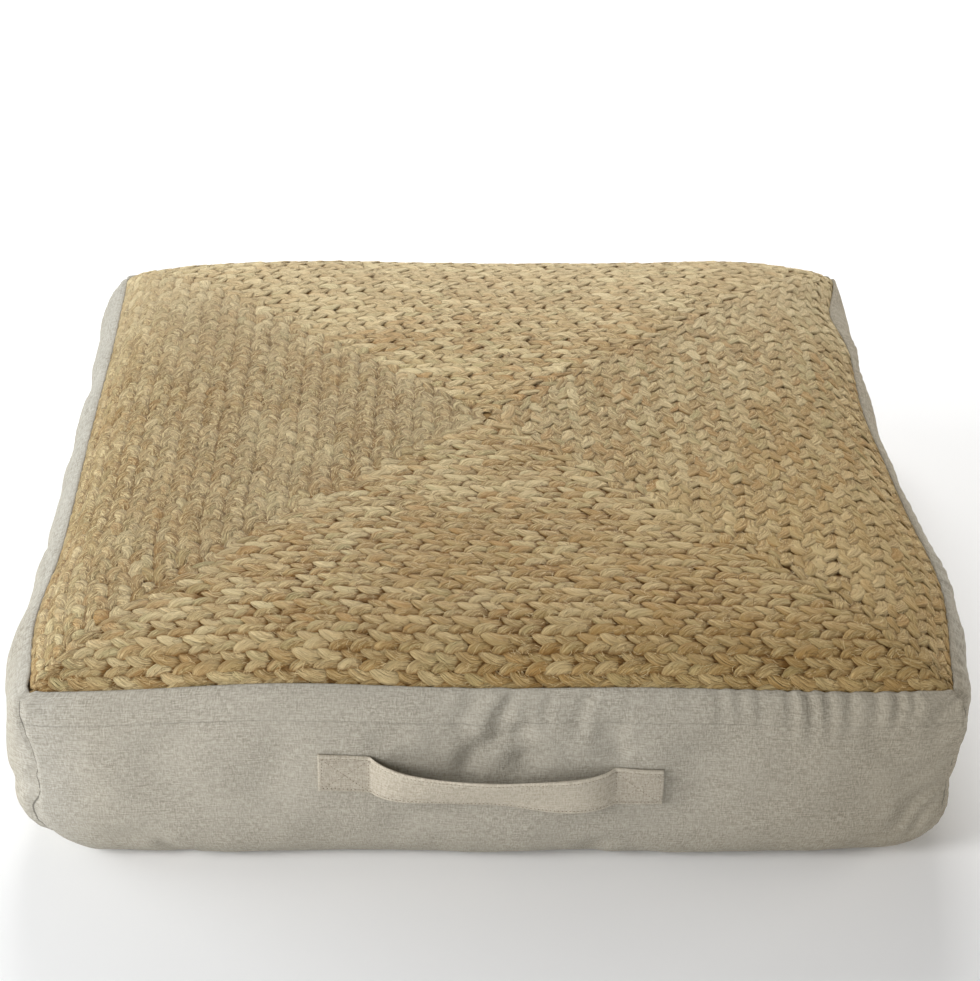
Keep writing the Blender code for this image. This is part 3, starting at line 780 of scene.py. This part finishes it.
def raised_at(p, q):
    """By side of the mat: how plump the lobes, how rounded the rows, the painted light and shade, and the
    left side's share for painted shade along the row edges.
    """
    reach = np.maximum(np.maximum(np.abs(p), np.abs(q)), 1e-6)
    front = np.clip(-q / reach, 0.0, 1.0) ** 8
    back = np.clip(q / reach, 0.0, 1.0) ** 8
    right = np.clip(p / reach, 0.0, 1.0) ** 8
    left = np.clip(-p / reach, 0.0, 1.0) ** 8
    outer = smooth(reach / MAT_HALF)
    relief = 0.55 + front * (0.12 + 0.33 * outer) + 0.08 * back - 0.12 * right - 0.20 * left
    rounding = front * (0.40 - 0.15 * outer) + 0.40 * back + 0.30 * left + 0.10 * right
    # Painted light and shade by side of the mat: lighter at the back and the inner front, darker on the
    # left and right and at the outer front, lighter again towards the front left where the left lamp
    # reaches.
    paler = outer * np.clip(-p / MAT_HALF, 0.0, 1.0)
    painted_light = front * (0.65 - 1.15 * outer + 1.2 * paler) + 0.72 * back - 0.82 * left - 0.40 * right
    return relief, rounding, painted_light, left


def raised(u):
    """The same, at a length u along the braid."""
    return raised_at(*on_spiral(u, 0.0 * u))


def fall_away(v, rounding):
    """How far a row's top falls away towards its edges."""
    return (0.0003 + 0.0013 * rounding) * (v / 0.0080) ** 2


def swinging(phase):
    """Sideways place of a strand along its path: it lingers at the edges and crosses steeply."""
    return np.sin(phase) + 0.09 * np.sin(3 * phase)


def crossing_over(phase):
    """Height of a strand along its path: level on top from the edge to the middle, then down."""
    crossing = -np.sin(2 * phase) + 0.30 * np.cos(4 * phase)
    return crossing, 0.68 * crossing + 0.32 * np.sqrt(crossing ** 2 + 0.06)


def strand(index, u):
    """One strand's skin in the flat braid: length, sideways and height, and what its look needs."""
    phase = 2 * math.pi * (u / (3 * LOBE_PITCH) + index / 3.0)
    chance = [by_lobe(phase, 100 + 10 * index + k) for k in range(6)]
    phase = phase + 0.18 * uneven(u, 40 + index, 0.011) + 0.14 * chance[0]
    swing = BRAID_SWING * (1.0 + 0.06 * uneven(u, 10 + index, 0.02) + 0.09 * chance[1])
    v = swing * swinging(phase) + 0.0005 * uneven(u, 50, 0.05)
    relief, rounding, painted_light, edge_shade_share = raised(u)
    crossing, over = crossing_over(phase)
    w = BRAID_LIFT * over * (0.95 + 0.16 * chance[2]) + 0.0003 * uneven(u, 70 + index, 0.016)
    w = (w + 0.0004 * chance[3]) * relief + FELTED_RISE * (1.0 - relief)
    du = np.gradient(u)
    slope = np.gradient(v) / du
    climb = np.gradient(w) / du
    high = smooth(0.5 + 0.6 * crossing)
    plump = 1.0 + 0.06 * uneven(u, 30 + index, 0.012) + 0.09 * chance[4]
    wide = STRAND_WIDE * (0.74 + 0.34 * high) * plump * (1.13 - 0.11 * relief)
    thick = STRAND_THICK * (0.50 + 0.50 * relief) * (0.84 + 0.18 * high) * plump
    size = np.sqrt(1.0 + slope ** 2)
    tilt = STRAND_TILT * (0.12 + 0.88 * relief) * slope / 0.65
    side = wide[:, None] * SKIN_ACROSS[None, :]
    lift = thick[:, None] * SKIN_UP[None, :] - tilt[:, None] * side
    grid_u = u[:, None] - (slope / size)[:, None] * side - climb[:, None] * lift
    grid_v = v[:, None] + (1.0 / size)[:, None] * side
    grid_w = w[:, None] + lift - fall_away(grid_v, rounding[:, None])
    top = BRAID_LIFT * relief + FELTED_RISE * (1.0 - relief) + 0.8 * thick
    # Painted shade: how far a point lies below the top of its row, which darkens the jute's colour in the
    # crevices.
    crevice_shade = smooth((top[:, None] - grid_w) / 0.0030)
    # Painted shade along the edges of the rows on the left side.
    row_edge_shade = edge_shade_share[:, None] * np.minimum(np.abs(grid_v) / 0.0066, 1.0) ** 2
    return grid_u, grid_v, grid_w, chance[5], crevice_shade, painted_light, row_edge_shade


# Outline of a strand, a flattened round with most of its points on top: across and up.
SKIN_TURNS = np.radians((0.0, 28.0, 58.0, 90.0, 122.0, 152.0, 180.0, 235.0, 305.0))
SKIN_ACROSS = np.sign(np.cos(SKIN_TURNS)) * np.abs(np.cos(SKIN_TURNS)) ** 0.80
SKIN_UP = np.sign(np.sin(SKIN_TURNS)) * np.abs(np.sin(SKIN_TURNS)) ** 0.66
STRAND_SIDES = len(SKIN_TURNS)
STRAND_GIRTH = 2 * math.pi * STRAND_WIDE * 0.8
BRAID_STEP = LOBE_PITCH * 3 / 20


def jute_look():
    """Combed jute fibre: fine streaks along each strand, straw to greenish and rusty tints, with painted
    light and shade.
    """
    look = Look("jute_fibre", 0.68)
    flat = look.flat()
    ply = look.cloudy(flat, (45.0, 400.0, 1.0), 2.0, 0.5)
    streak = look.cloudy(flat, (110.0, 950.0, 1.0), 3.0, 0.65)
    hair = look.cloudy(flat, (210.0, 1600.0, 1.0), 2.0, 0.6)
    crossed = look.cloudy(look.slant(flat, 24.0), (230.0, 1500.0, 1.0), 2.0, 0.6)
    split = look.band(abs(ply - 0.5), 0.024, 0.004)
    pits = look.cloudy(flat + (5.7, 2.3, 0.0), (190.0, 800.0, 1.0), 2.0, 0.6)
    row_edge_shade, lobe, painted_light, crevice_shade = (look.carried(name) for name in ("row_edge_shade", "tint", "painted_light", "crevice_shade"))
    long_tint = look.cloudy(flat, (16.0, 60.0, 1.0), 2.0)
    place = look.place()
    patch = look.cloudy(place, 13.0, 2.0)
    x, y = (look.part(place, axis) for axis in "XY")
    # Less tint variety where the painted shade is darkest.
    mixed = 1.0 - 0.60 * look.band(painted_light, -0.55, -0.90)
    rust = look.cloudy(flat + (3.7, 1.9, 0.0), (26.0, 90.0, 1.0), 2.0)
    green = look.cloudy(flat + (9.1, 5.3, 0.0), (20.0, 80.0, 1.0), 2.0)
    tone = look.blend(look.band(streak, 0.40, 0.60), (0.34, 0.225, 0.090), (0.66, 0.51, 0.262))
    band = look.band
    layers = (
        (band(hair, 0.53, 0.62) * 0.60, (0.23, 0.135, 0.04)),
        (band(hair, 0.47, 0.36) * 0.50, (0.84, 0.70, 0.41)),
        (band(crossed, 0.54, 0.62) * 0.60, (0.24, 0.14, 0.042)),
        (band(crossed, 0.45, 0.36) * 0.45, (0.82, 0.68, 0.40)),
        # Painted shade on the low fibre bundles, painted highlight on the raised ones, and painted shade
        # in the splits between them.
        (band(ply, 0.47, 0.36) * 0.35, (0.27, 0.16, 0.05)),
        (band(ply, 0.55, 0.68) * 0.38, (0.84, 0.71, 0.42)),
        (split * 0.42, (0.25, 0.145, 0.045)),
        # Painted shade in small pits between the fibres, and along the row edges on the left side.
        (band(pits + 0.19 * row_edge_shade, 0.60, 0.69) * 0.82, (0.20, 0.11, 0.032)),
        (band(long_tint, 0.38, 0.72) * 0.40, (0.68, 0.56, 0.34)),
        (band(rust, 0.52, 0.68) * mixed * 0.50, (0.47, 0.25, 0.08)),
        (band(green, 0.52, 0.68) * mixed * 0.45, (0.46, 0.43, 0.22)),
        (band(lobe, 0.1, 1.0) * mixed * 0.50, (0.80, 0.67, 0.40)),
        (band(lobe, -0.1, -1.0) * mixed * 0.44, (0.40, 0.235, 0.08)),
        (band(patch, 0.50, 0.72) * 0.30, (0.72, 0.60, 0.345)),
        (band(patch, 0.48, 0.28) * 0.26, (0.46, 0.28, 0.10)),
        # Painted shade: warmer and darker towards the front right, the colour of light bounced in its
        # deep crevices.
        (band(0.8 * x - y, 0.03, 0.38) * 0.36, (0.55, 0.34, 0.10)),
        # Painted sheen: paler and greyer towards the back, where the fuzz is seen against the light.
        (band(y, 0.05, 0.27) * 0.42, (0.80, 0.68, 0.44)),
        # Painted shade in the crevices between lobes and rows.
        (band(crevice_shade, 0.06, 0.64) * 0.86, (0.25, 0.118, 0.024)),
    )
    for amount, tint in layers:
        tone = look.blend(amount, tone, tint)
    # Painted light and shade by side of the mat, and a colour balance.
    tone = tone * (0.94 + 0.13 * painted_light) * (1.0, 0.985, 0.95)
    relief = 0.8 * ply + 0.45 * streak + 0.22 * hair + 0.20 * crossed - 0.10 * split
    return look.finish(tone, relief, 0.0036)


jute = jute_look()


def wrapped(faces, around, lengths, widths):
    """Length coordinates for the faces of a tube, from its lengths along and its widths round."""
    i = faces[:, 0] // around
    j = faces[:, 0] % around
    along = np.stack([lengths[i], lengths[i], lengths[i + 1], lengths[i + 1]], axis=-1)
    across = np.stack([widths[j], widths[j + 1], widths[j + 1], widths[j]], axis=-1)
    return np.stack([along, across], axis=-1)


def braid_section(name, first, last):
    """One run of the braid, from one leg of the spiral to another, as a single mesh."""
    begin = LEG_STARTS[first]
    end = LEG_STARTS[last]
    count = int((end - begin) / BRAID_STEP) + 1
    u = np.linspace(begin, end, count)
    points, faces, uvs, tints, depths, lights, felts = ([] for _ in range(7))
    grain_apart = (31.7, 3.3)      # keeps the grain of one strand from showing on the next
    for index in range(3):
        grid_u, grid_v, grid_w, tint, crevice_shade, painted_light, row_edge_shade = strand(index, u)
        tints.append(np.repeat(tint, STRAND_SIDES))
        lights.append(np.repeat(painted_light, STRAND_SIDES))
        depths.append(crevice_shade.ravel())
        felts.append(row_edge_shade.ravel())
        below = 0.5 * MAT_THICK - grid_w
        grid = rounded(np.clip(grid_u, 0.0, LEG_STARTS[-1] - 1e-5), grid_v, below)
        quads = grid_faces(count, STRAND_SIDES, True)
        widths = STRAND_GIRTH / STRAND_SIDES * np.arange(STRAND_SIDES + 1)
        lengths = u + index * grain_apart[0]
        uv = wrapped(quads, STRAND_SIDES, lengths, widths + index * grain_apart[1])
        faces.append(quads[:, ::-1] + sum(len(p) for p in points))
        points.append(grid.reshape(-1, 3))
        uvs.append(uv[:, ::-1].reshape(-1, 2))
    piece = make_piece(name, np.concatenate(points), np.concatenate(faces), jute, np.concatenate(uvs))
    carry(piece, {"tint": tints, "crevice_shade": depths, "painted_light": lights, "row_edge_shade": felts})
    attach(piece, "root")
    return piece


def section_ends(parts):
    """Legs at which to divide the braid into runs of about equal length."""
    ends = [int(np.searchsorted(LEG_STARTS, LEG_STARTS[-1] * k / parts)) for k in range(1, parts)]
    return [0] + ends + [LEGS]


SECTION_ENDS = section_ends(5)
for number, (first_leg, last_leg) in enumerate(zip(SECTION_ENDS, SECTION_ENDS[1:]), 1):
    braid_section("jute_braid_%d" % number, first_leg, last_leg)

FIBRE_COUNT = 24000


def make_fibres():
    """Stray fibres standing off the braid: short thin ribbons along the lobes."""
    rng = np.random.default_rng(5)
    count = FIBRE_COUNT
    total = LEG_STARTS[-1]
    index = rng.integers(0, 3, count)
    half_turn = rng.integers(0, int(total / (1.5 * LOBE_PITCH)) - 1, count)
    phase = math.pi * (half_turn + rng.uniform(0.46, 1.04, count))
    u = (phase / (2 * math.pi) - index / 3.0) * 3 * LOBE_PITCH
    keep = (u > 0.02) & (u < total - 0.02)
    u, phase = u[keep], phase[keep]
    count = len(u)
    v = BRAID_SWING * swinging(phase)
    bend = np.cos(phase) + 0.27 * np.cos(3 * phase)
    slope = BRAID_SWING * bend * 2 * math.pi / (3 * LOBE_PITCH)
    relief, rounding = raised(u)[:2]
    over = crossing_over(phase)[1]
    top = BRAID_LIFT * over * relief + FELTED_RISE * (1.0 - relief)
    top = top + STRAND_THICK * (0.50 + 0.50 * relief) * 0.98
    heading = np.arctan(slope) + rng.normal(0.0, 0.55, count)
    curl = rng.normal(0.0, 0.8, count)
    length = rng.uniform(0.004, 0.012, count)
    width = rng.uniform(0.00009, 0.00019, count)
    shift = rng.uniform(-0.8, 0.8, count) * STRAND_WIDE
    u = u - np.sin(np.arctan(slope)) * shift
    v = v + np.cos(np.arctan(slope)) * shift
    top = top - 0.0009 * np.abs(shift / STRAND_WIDE) ** 2
    top = top - fall_away(v, rounding)
    rise = rng.uniform(0.0001, 0.0008, count)
    steps = 3
    rows = []
    for k in range(steps):
        t = k / (steps - 1)
        angle = heading + curl * (t - 0.5)
        du = np.cos(angle) * length * (t - 0.5)
        dv = np.sin(angle) * length * (t - 0.5)
        up = top + rise * (0.3 + 0.7 * np.sin(math.pi * min(1.0, t * 1.3)))
        thin = width * (1.0 - 0.6 * abs(2 * t - 1.0))
        for hand in (-1.0, 1.0):
            off = thin * hand
            p, q = on_spiral(u + du - np.sin(angle) * off, v + dv + np.cos(angle) * off)
            rows.append(lay(p, q, 0.5 * MAT_THICK - up))
    points = np.stack(rows, axis=1).reshape(-1, 3)
    base = np.arange(count)[:, None, None] * (2 * steps)
    k = np.arange(steps - 1)[None, :, None] * 2
    faces = (base + k + np.array([0, 1, 3, 2])[None, None, :]).reshape(-1, 4)
    look = Look("jute_hair", 0.6)
    pale = look.band(look.cloudy(look.place(), 260.0, 1.0), 0.42, 0.56)
    tone = look.blend(pale, (0.20, 0.115, 0.035), (0.66, 0.51, 0.27))
    return make_piece("jute_fibres", points, faces[:, ::-1], look.finish(tone))


fibres = make_fibres()
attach(fibres, "root")


def mat_ground():
    """A thin sheet under the braid that shuts the gaps between rows, coloured as painted shade."""
    look = Look("jute_ground_shade", 0.95)
    pale = look.cloudy(look.place(), 160.0, 2.0)
    # Painted shade: dark brown, as the shade deep in the gaps between rows looks.
    tone = look.blend(pale, (0.20, 0.115, 0.038), (0.32, 0.20, 0.075))
    line = np.linspace(-1.0, 1.0, 61)
    line = (line * 0.8 + line ** 3 * 0.2) * (MAT_HALF + 0.002)
    p, q = np.meshgrid(line, line)
    middle = np.exp(-(p ** 2 + q ** 2) / 0.008 ** 2)
    depth = 0.0024 + 0.0028 * raised_at(p, q)[0] - 0.0018 * middle
    upper = lay(p, q, depth)
    lower = lay(p, q, depth + 0.0016)
    points = np.concatenate([upper.reshape(-1, 3), lower.reshape(-1, 3)])
    size = len(line)
    quads = grid_faces(size, size, False)
    grid = np.arange(size * size).reshape(size, size)
    edge = np.concatenate([grid[0], grid[1:, -1], grid[-1, -2::-1], grid[-2:0:-1, 0]])
    after = np.roll(edge, -1)
    rim = np.stack([edge, edge + size * size, after + size * size, after], axis=-1)
    faces = np.concatenate([quads, quads[:, ::-1] + size * size, rim])
    return make_piece("mat_ground", points, faces, look.finish(tone))


ground = mat_ground()
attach(ground, "root")
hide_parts("braided_top")

# ========================================
# The strap handle. A strip of the same cloth, folded to 27 mm and topstitched along both edges,
# has its ends sewn flat to the front with a box and a cross of stitches. The band between has a
# little slack: it bows out and its arch droops, so the top edge stands out further.
# ========================================
STRAP_WIDTH = 0.0275
STRAP_THICK = 0.0024
STRAP_BOW = 0.0122                                  # how far the band stands off the front
STRAP_DROOP = 0.0016
HANDLE_LEFT = (-0.1100, -0.0780, 0.0838, 0.0820)    # outer and inner x, heights there
HANDLE_RIGHT = (0.0775, 0.1080, 0.0722, 0.0706)     # inner and outer x, heights there
STITCH_LINE = 0.415                                 # from the middle, in strap widths


def front_plane(x, z):
    """How far forward the cover's front stands at places across it."""
    front = cover_points[cover_points[:, 1] < -0.2]
    out = np.zeros(x.shape)
    for i in np.ndindex(x.shape):
        d = (front[:, 0] - x[i]) ** 2 + (front[:, 2] - z[i]) ** 2
        close = np.argpartition(d, 4)[:4]
        out[i] = -front[close, 1].min()
    return out


# How far the band's upper edge leans out: share of the way along the band, degrees.
STRAP_LEANS = (
    (0.00, 0.0), (0.13, 11.7), (0.32, 24.0), (0.54, 24.0), (0.70, 13.5), (0.81, 3.6),
    (0.93, 0.0), (1.00, 0.0),
)


def strap_line(count):
    """Middle line of the strap: x, height, stand-off, lean, and share of the way along its band."""
    left_out, left_in, left_z0, left_z1 = HANDLE_LEFT
    right_in, right_out, right_z0, right_z1 = HANDLE_RIGHT
    x = np.linspace(left_out, right_out, count)
    t = np.clip((x - left_in) / (right_in - left_in), 0.0, 1.0)
    bow = (1.0 - (2.0 * t - 1.0) ** 6) ** 1.15
    ends = (left_out, left_in, right_in, right_out)
    z = np.interp(x, ends, (left_z0, left_z1, right_z0, right_z1)) - STRAP_DROOP * bow
    lean = np.interp(t, *zip(*STRAP_LEANS))
    for _ in range(12):
        lean = np.convolve(np.pad(lean, 2, "edge"), np.full(5, 0.2), "valid")
    return x, z, STRAP_BOW * bow, np.radians(lean), t


def strap_shape(count=150, across=22):
    """Inner face of the strap: x, how far forward and height, with places across its width."""
    x, z, stand, tilt, t = strap_line(count)
    v = np.linspace(-0.5, 0.5, across)
    tab_left = front_plane(np.full(9, HANDLE_LEFT[1]), np.linspace(0.068, 0.096, 9)).max()
    tab_right = front_plane(np.full(9, HANDLE_RIGHT[0]), np.linspace(0.058, 0.086, 9)).max()
    chord = tab_left + (tab_right - tab_left) * t
    grid_z = z[:, None] + v[None, :] * STRAP_WIDTH * np.cos(tilt)[:, None]
    grid_x = np.repeat(x[:, None], across, axis=1)
    face = front_plane(grid_x, grid_z)
    ease = smooth(stand / 0.004)[:, None]
    out = face * (1.0 - ease) + chord[:, None] * ease + stand[:, None]
    out = out + v[None, :] * STRAP_WIDTH * np.sin(tilt)[:, None]
    return grid_x, out, grid_z, v


strap_x, strap_out, strap_z, strap_v = strap_shape()


def strap_skin():
    """The strap's two faces, thinned to its folded edges and dented along its stitching."""
    edge = 1.0 - np.abs(strap_v * 2.0) ** 8
    dent = np.exp(-((np.abs(strap_v) - STITCH_LINE) * STRAP_WIDTH / 0.0007) ** 2)
    thick = STRAP_THICK * (0.40 + 0.60 * edge) - 0.0006 * dent
    ripple = 0.0004 * np.sin(strap_x * 120.0 + strap_v[None, :] * 5.0)
    outer = np.stack([strap_x, -(strap_out + 0.0004 + thick[None, :] + ripple), strap_z], axis=-1)
    inner = np.stack([strap_x, -(strap_out + 0.0004), strap_z], axis=-1)
    return np.concatenate([outer, inner[:, ::-1]], axis=1)


strap_ring = strap_skin()


def make_strap(ring):
    """The strap as one piece, from the rings of its skin."""
    count, around = ring.shape[:2]
    faces = grid_faces(count, around, True)
    length = np.cumsum(np.linalg.norm(np.diff(ring[:, 5], axis=0, prepend=ring[:1, 5]), axis=-1))
    width = np.cumsum(np.linalg.norm(np.diff(ring[0], axis=0, prepend=ring[0, :1]), axis=-1))
    width = np.append(width, width[-1] + 0.001)
    uv = wrapped(faces, around, length, width)
    caps = []
    for row in (0, count - 1):
        for k in range(around // 2 - 1):
            quad = [row * around + k, row * around + k + 1,
                    row * around + around - 2 - k, row * around + around - 1 - k]
            caps.append(quad if row == 0 else quad[::-1])
    faces = np.concatenate([faces[:, ::-1], np.array(caps)])
    uv = np.concatenate([uv[:, ::-1].reshape(-1, 2), np.zeros((len(caps) * 4, 2))])
    return make_piece("handle_band", ring.reshape(-1, 3), faces, handle_cloth, uv)


# The handle's cloth is given paler colours than the cover's, though it is the same cloth: painted light
# from the bright floor below.
handle_cloth = cloth_look("handle_weave", (0.505, 0.457, 0.373), (0.332, 0.293, 0.227), painted_handle_light=True)
band = make_strap(strap_ring)
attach(band, "root")
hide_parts("handle_strap")

# The stitches of the handle: undyed thread, in a run along each edge, and in a box and a cross
# at each end. The thread is coloured darker than the cloth, as painted shade of the stitch holes.
STITCH = 0.0015            # length of a stitch
STITCH_GAP = 0.0010
STITCH_INSET = 0.0024      # from the end of the strap to the box
THREAD = 0.00030           # half thickness of the thread


def on_strap(along, across):
    """Place on the strap's outer face, from places along its length and width."""
    count = strap_x.shape[0]
    i = np.clip(along, 0.0, 1.0) * (count - 1)
    low = int(min(math.floor(i), count - 2))
    t = i - low
    face = strap_ring[low, :len(strap_v)] * (1 - t) + strap_ring[low + 1, :len(strap_v)] * t
    x, y, z = (np.interp(across, strap_v, face[:, k]) for k in range(3))
    return Vector((x, y - 0.00004, z))


def stitch_runs():
    """Runs of stitches as pairs of places on the strap."""
    whole = HANDLE_RIGHT[1] - HANDLE_LEFT[0]
    left = (HANDLE_LEFT[1] - HANDLE_LEFT[0]) / whole
    right = (HANDLE_RIGHT[0] - HANDLE_LEFT[0]) / whole
    inset = STITCH_INSET / whole
    edge = STITCH_LINE
    runs = [((inset, edge), (1 - inset, edge)), ((inset, -edge), (1 - inset, -edge))]
    for a, b in ((inset, left - 0.001), (right + 0.001, 1 - inset)):
        runs += [((a, edge), (a, -edge)), ((b, edge), (b, -edge))]
        runs += [((a, edge), (b, -edge)), ((a, -edge), (b, edge))]
    return runs


def make_stitches(sides=6, steps=60):
    """Every stitch as a short thread that dips into the cloth at its ends."""
    points = []
    faces = []
    for (a0, c0), (a1, c1) in stitch_runs():
        shares = [k / steps for k in range(steps + 1)]
        line = [on_strap(a0 + (a1 - a0) * t, c0 + (c1 - c0) * t) for t in shares]
        lengths = np.concatenate([[0.0], np.cumsum([(b - a).length for a, b in zip(line, line[1:])])])
        xyz = np.array([list(p) for p in line])
        at = 0.0
        while at + STITCH < lengths[-1]:
            ends = [np.array([np.interp(d, lengths, xyz[:, k]) for k in range(3)])
                    for d in (at, at + STITCH * 0.3, at + STITCH * 0.7, at + STITCH)]
            axis = ends[-1] - ends[0]
            axis /= np.linalg.norm(axis)
            other = np.cross(axis, (0.0, 1.0, 0.0))
            start = len(points)
            for centre, size, sink in zip(ends, (0.5, 1.0, 1.0, 0.5), (0.0004, 0, 0, 0.0004)):
                for k in range(sides):
                    angle = 2 * math.pi * k / sides
                    ring = centre + other * (THREAD * size * math.cos(angle))
                    ring = ring + np.array([0.0, THREAD * size * math.sin(angle) + sink, 0.0])
                    points.append(ring)
            faces += (grid_faces(4, sides, True) + start).tolist()
            at += STITCH + STITCH_GAP
    look = Look("thread_with_stitch_shade", 0.7)
    # Painted shade: the thread darker than the cloth, for the shade of the stitch holes.
    tone = look.blend(look.cloudy(look.place(), 300.0), (0.25, 0.21, 0.155), (0.35, 0.305, 0.24))
    return make_piece("handle_stitches", np.array(points), np.array(faces), look.finish(tone))


stitches = make_stitches()
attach(stitches, "root")

# ========================================
# A plain pale floor, soft light from large diffused lamps at the back, left, front and both
# ends, and the camera.
# ========================================
floor_mesh = bpy.data.meshes.new("floor")
floor_mesh.from_pydata([(-6, -5, 0), (6, -5, 0), (6, 9, 0), (-6, 9, 0)], [], [(0, 1, 2, 3)])
floor = bpy.data.objects.new("floor", floor_mesh)
floor.location.z = FLOOR_Z - 0.0005
bpy.context.scene.collection.objects.link(floor)
paper = Look("white_paper", 0.9)
paper.shader.inputs["Base Color"].default_value = (0.93, 0.93, 0.93, 1.0)
floor_mesh.materials.append(paper.material)

world = bpy.data.worlds.new("studio")
world.use_nodes = True
world.node_tree.nodes["Background"].inputs["Color"].default_value = (1.0, 1.0, 1.0, 1.0)
world.node_tree.nodes["Background"].inputs["Strength"].default_value = 0.19
bpy.context.scene.world = world


def soft_light(name, place, aim, size, power, colour=(1.0, 1.0, 1.0)):
    """A square lamp behind a diffuser, turned towards a point."""
    lamp = bpy.data.lights.new(name, "AREA")
    lamp.color = colour
    lamp.shape = "SQUARE"
    lamp.size = size
    lamp.energy = power
    holder = bpy.data.objects.new(name, lamp)
    holder.location = place
    turn = (Vector(aim) - Vector(place)).to_track_quat("-Z", "Y")
    holder.rotation_euler = turn.to_euler()
    bpy.context.scene.collection.objects.link(holder)


soft_light("window_back", (0.02, 1.6, 1.45), (0.0, 0.0, 0.1), 1.4, 45.0)
soft_light("window_left", (-1.45, -1.15, 0.90), (-0.15, -0.2, 0.12), 0.8, 27.0)
soft_light("low_front", (-0.15, -1.75, 0.45), (-0.02, -0.3, 0.02), 0.85, 6.0)
soft_light("low_right", (1.7, 0.1, 0.20), (0.3, 0.0, 0.06), 0.9, 15.0, (1.0, 0.96, 0.90))
soft_light("low_left", (-1.7, 0.2, 0.35), (-0.3, 0.0, 0.06), 0.9, 15.0, (0.90, 0.96, 1.0))

CAMERA_PLACE = (-0.0329, -1.5642, 1.0554)
CAMERA_TURNS = ((-1.309, "Z"), (58.783, "X"), (0.697, "Z"))     # pan, tilt and roll in degrees

scene = bpy.context.scene
scene.view_settings.view_transform = "Standard"
camera_data = bpy.data.cameras.new("camera")
camera_data.sensor_fit = "HORIZONTAL"
camera_data.sensor_width = 36.0
camera_data.lens = 92.5
camera = bpy.data.objects.new("camera", camera_data)
camera.location = CAMERA_PLACE
camera.rotation_mode = "XYZ"
pan, tilt, roll = (Matrix.Rotation(math.radians(turn), 3, axis) for turn, axis in CAMERA_TURNS)
camera.rotation_euler = (pan @ tilt @ roll).to_euler()
bpy.context.scene.collection.objects.link(camera)
scene.camera = camera
